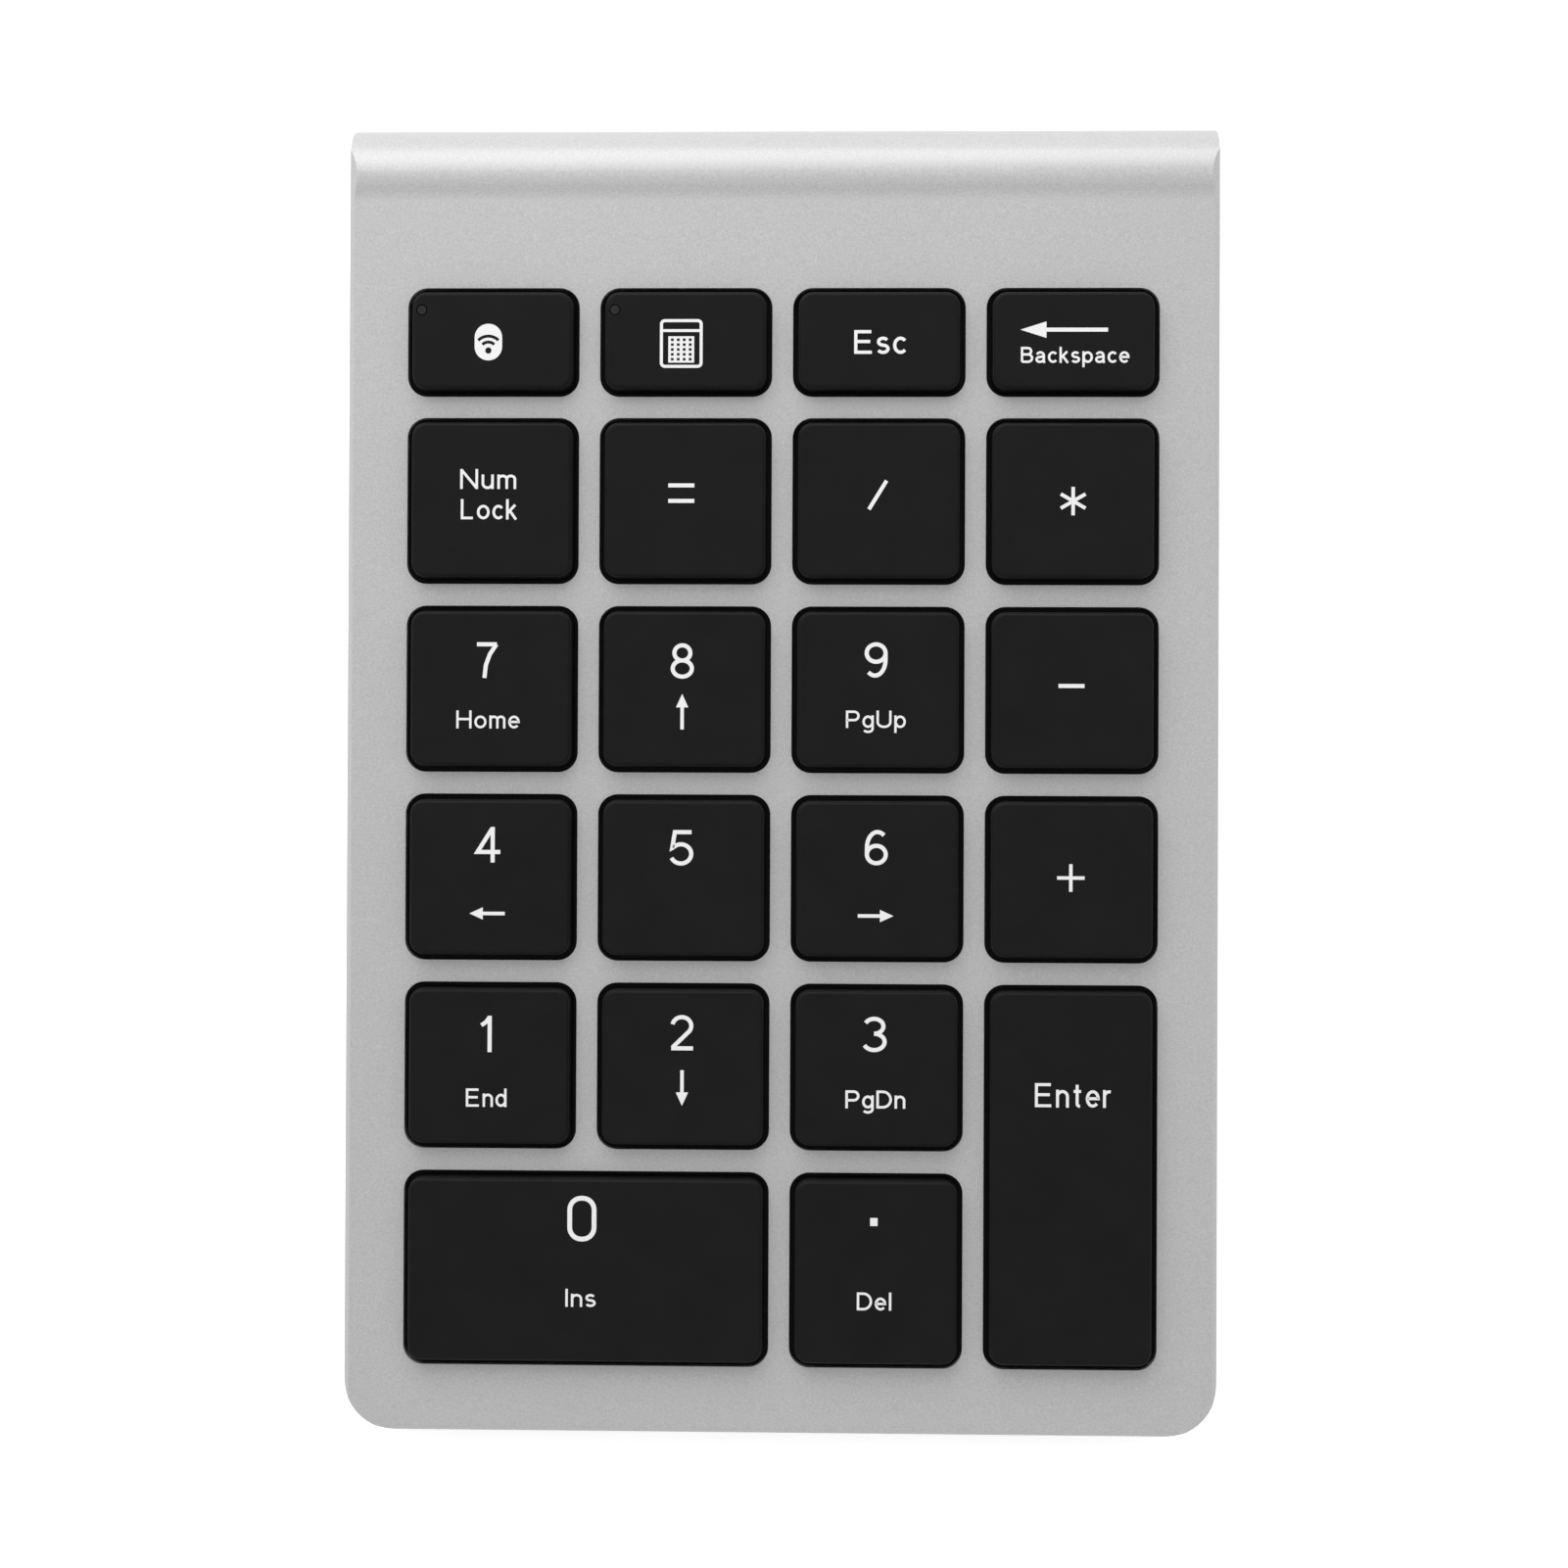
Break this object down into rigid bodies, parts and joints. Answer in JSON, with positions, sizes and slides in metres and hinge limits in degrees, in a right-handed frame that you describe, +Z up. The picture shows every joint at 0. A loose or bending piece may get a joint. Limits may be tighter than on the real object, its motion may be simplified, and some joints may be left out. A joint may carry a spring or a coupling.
{
  "type": "numeric keypad",
  "caption": "Flat desk keypad for numbers: black square keys that travel in a tilted silver cover with a battery roll along its rear edge.",
  "frame": {"origin": "centre of the footprint, on the desk under the feet", "axes": "+Z up, +Y towards the roll at the rear, +X to the right as a user sees it"},
  "size_m": [0.088, 0.1328, 0.0181],
  "materials": {
    "silver_paint": "satin",
    "black_key": "satin",
    "dark_base": "fine texture",
    "dark_rubber": "matt",
    "bright_steel": "bright",
    "smoke_lens": "clear smoke",
    "frame_plastic": "matt",
    "pale_rubber": "translucent",
    "film": "clear film",
    "led_white": "clear",
    "cell_jacket": "printed jacket",
    "contact_brass": "plated",
    "board": "solder mask",
    "can": "tinned",
    "chip": "moulded",
    "ferrite": "matt",
    "connector": "moulded"
  },
  "bodies": {
    "case": {"top_cover": "silver_paint", "bottom_cover": "dark_base", "front_feet": "dark_rubber", "rear_feet": "dark_rubber", "case_screws": "bright_steel", "frame_screws": "bright_steel", "key_frame": "frame_plastic", "dome_sheet": "pale_rubber", "membrane_top": "film", "membrane_spacer": "film", "membrane_bottom": "film", "backplate": "bright_steel", "indicator_leds": "led_white", "battery_tube": "frame_plastic", "battery_cell": "cell_jacket", "battery_contact": "contact_brass", "ground_strip": "contact_brass", "circuit_board": "board", "board_screws": "bright_steel", "radio_module": "can", "controller_chip": "chip", "clock_crystal": "can", "power_inductor": "ferrite", "tail_clamp": "connector", "flex_tail": "film", "power_switch_body": "can"},
    "key_pair": {"key_pair": "black_key", "lens_pair": "smoke_lens"},
    "key_calculator": {"key_calculator": "black_key", "lens_calculator": "smoke_lens"},
    "key_escape": {"key_escape": "black_key"},
    "key_backspace": {"key_backspace": "black_key"},
    "key_num_lock": {"key_num_lock": "black_key"},
    "key_equals": {"key_equals": "black_key"},
    "key_divide": {"key_divide": "black_key"},
    "key_multiply": {"key_multiply": "black_key"},
    "key_7": {"key_7": "black_key"},
    "key_8": {"key_8": "black_key"},
    "key_9": {"key_9": "black_key"},
    "key_minus": {"key_minus": "black_key"},
    "key_4": {"key_4": "black_key"},
    "key_5": {"key_5": "black_key"},
    "key_6": {"key_6": "black_key"},
    "key_plus": {"key_plus": "black_key"},
    "key_1": {"key_1": "black_key"},
    "key_2": {"key_2": "black_key"},
    "key_3": {"key_3": "black_key"},
    "key_enter": {"key_enter": "black_key"},
    "key_0": {"key_0": "black_key"},
    "key_decimal": {"key_decimal": "black_key"},
    "stabiliser_0": {"stabiliser_bar_0": "bright_steel"},
    "stabiliser_enter": {"stabiliser_bar_enter": "bright_steel"},
    "battery_cap": {"battery_cap": "silver_paint", "battery_spring": "bright_steel"},
    "power_switch": {"power_switch_slider": "chip"}
  },
  "joints": [
    {"name": "key_pair_press", "type": "slide", "parent": "case", "child": "key_pair", "axis": [0, 0.075, -0.9972], "range_m": [0, 0.0017], "stiffness_N_per_m": 200, "springref_m": -0.0014, "deforming": ["dome_sheet"]},
    {"name": "key_calculator_press", "type": "slide", "parent": "case", "child": "key_calculator", "axis": [0, 0.075, -0.9972], "range_m": [0, 0.0017], "stiffness_N_per_m": 200, "springref_m": -0.0014, "deforming": ["dome_sheet"]},
    {"name": "key_escape_press", "type": "slide", "parent": "case", "child": "key_escape", "axis": [0, 0.075, -0.9972], "range_m": [0, 0.0017], "stiffness_N_per_m": 200, "springref_m": -0.0014, "deforming": ["dome_sheet"]},
    {"name": "key_backspace_press", "type": "slide", "parent": "case", "child": "key_backspace", "axis": [0, 0.075, -0.9972], "range_m": [0, 0.0017], "stiffness_N_per_m": 200, "springref_m": -0.0014, "deforming": ["dome_sheet"]},
    {"name": "key_num_lock_press", "type": "slide", "parent": "case", "child": "key_num_lock", "axis": [0, 0.075, -0.9972], "range_m": [0, 0.0017], "stiffness_N_per_m": 200, "springref_m": -0.0014, "deforming": ["dome_sheet"]},
    {"name": "key_equals_press", "type": "slide", "parent": "case", "child": "key_equals", "axis": [0, 0.075, -0.9972], "range_m": [0, 0.0017], "stiffness_N_per_m": 200, "springref_m": -0.0014, "deforming": ["dome_sheet"]},
    {"name": "key_divide_press", "type": "slide", "parent": "case", "child": "key_divide", "axis": [0, 0.075, -0.9972], "range_m": [0, 0.0017], "stiffness_N_per_m": 200, "springref_m": -0.0014, "deforming": ["dome_sheet"]},
    {"name": "key_multiply_press", "type": "slide", "parent": "case", "child": "key_multiply", "axis": [0, 0.075, -0.9972], "range_m": [0, 0.0017], "stiffness_N_per_m": 200, "springref_m": -0.0014, "deforming": ["dome_sheet"]},
    {"name": "key_7_press", "type": "slide", "parent": "case", "child": "key_7", "axis": [0, 0.075, -0.9972], "range_m": [0, 0.0017], "stiffness_N_per_m": 200, "springref_m": -0.0014, "deforming": ["dome_sheet"]},
    {"name": "key_8_press", "type": "slide", "parent": "case", "child": "key_8", "axis": [0, 0.075, -0.9972], "range_m": [0, 0.0017], "stiffness_N_per_m": 200, "springref_m": -0.0014, "deforming": ["dome_sheet"]},
    {"name": "key_9_press", "type": "slide", "parent": "case", "child": "key_9", "axis": [0, 0.075, -0.9972], "range_m": [0, 0.0017], "stiffness_N_per_m": 200, "springref_m": -0.0014, "deforming": ["dome_sheet"]},
    {"name": "key_minus_press", "type": "slide", "parent": "case", "child": "key_minus", "axis": [0, 0.075, -0.9972], "range_m": [0, 0.0017], "stiffness_N_per_m": 200, "springref_m": -0.0014, "deforming": ["dome_sheet"]},
    {"name": "key_4_press", "type": "slide", "parent": "case", "child": "key_4", "axis": [0, 0.075, -0.9972], "range_m": [0, 0.0017], "stiffness_N_per_m": 200, "springref_m": -0.0014, "deforming": ["dome_sheet"]},
    {"name": "key_5_press", "type": "slide", "parent": "case", "child": "key_5", "axis": [0, 0.075, -0.9972], "range_m": [0, 0.0017], "stiffness_N_per_m": 200, "springref_m": -0.0014, "deforming": ["dome_sheet"]},
    {"name": "key_6_press", "type": "slide", "parent": "case", "child": "key_6", "axis": [0, 0.075, -0.9972], "range_m": [0, 0.0017], "stiffness_N_per_m": 200, "springref_m": -0.0014, "deforming": ["dome_sheet"]},
    {"name": "key_plus_press", "type": "slide", "parent": "case", "child": "key_plus", "axis": [0, 0.075, -0.9972], "range_m": [0, 0.0017], "stiffness_N_per_m": 200, "springref_m": -0.0014, "deforming": ["dome_sheet"]},
    {"name": "key_1_press", "type": "slide", "parent": "case", "child": "key_1", "axis": [0, 0.075, -0.9972], "range_m": [0, 0.0017], "stiffness_N_per_m": 200, "springref_m": -0.0014, "deforming": ["dome_sheet"]},
    {"name": "key_2_press", "type": "slide", "parent": "case", "child": "key_2", "axis": [0, 0.075, -0.9972], "range_m": [0, 0.0017], "stiffness_N_per_m": 200, "springref_m": -0.0014, "deforming": ["dome_sheet"]},
    {"name": "key_3_press", "type": "slide", "parent": "case", "child": "key_3", "axis": [0, 0.075, -0.9972], "range_m": [0, 0.0017], "stiffness_N_per_m": 200, "springref_m": -0.0014, "deforming": ["dome_sheet"]},
    {"name": "key_enter_press", "type": "slide", "parent": "case", "child": "key_enter", "axis": [0, 0.075, -0.9972], "range_m": [0, 0.0017], "stiffness_N_per_m": 200, "springref_m": -0.0014, "deforming": ["dome_sheet"]},
    {"name": "key_0_press", "type": "slide", "parent": "case", "child": "key_0", "axis": [0, 0.075, -0.9972], "range_m": [0, 0.0017], "stiffness_N_per_m": 200, "springref_m": -0.0014, "deforming": ["dome_sheet"]},
    {"name": "key_decimal_press", "type": "slide", "parent": "case", "child": "key_decimal", "axis": [0, 0.075, -0.9972], "range_m": [0, 0.0017], "stiffness_N_per_m": 200, "springref_m": -0.0014, "deforming": ["dome_sheet"]},
    {"name": "stabiliser_0_swing", "type": "hinge", "parent": "case", "child": "stabiliser_0", "pos_m": [-0.0195, -0.05615, 0.00558], "axis": [-1, 0, 0], "range_deg": [0, 20]},
    {"name": "stabiliser_enter_swing", "type": "hinge", "parent": "case", "child": "stabiliser_enter", "pos_m": [0.03515, -0.04028, 0.00678], "axis": [0, -0.9972, -0.075], "range_deg": [0, 20]},
    {"name": "battery_cap_turn", "type": "hinge", "parent": "case", "child": "battery_cap", "pos_m": [-0.044, 0.05889, 0.00937], "axis": [-1, 0, 0], "range_deg": [0, 90]},
    {"name": "power_switch_slide", "type": "slide", "parent": "case", "child": "power_switch", "axis": [1, 0, 0], "range_m": [0, 0.0025]}
  ],
  "couplings": [
    {"joint": "stabiliser_0_swing", "follows": "key_0_press", "rad_per_m": 204.86},
    {"joint": "stabiliser_enter_swing", "follows": "key_enter_press", "rad_per_m": 204.86}
  ]
}
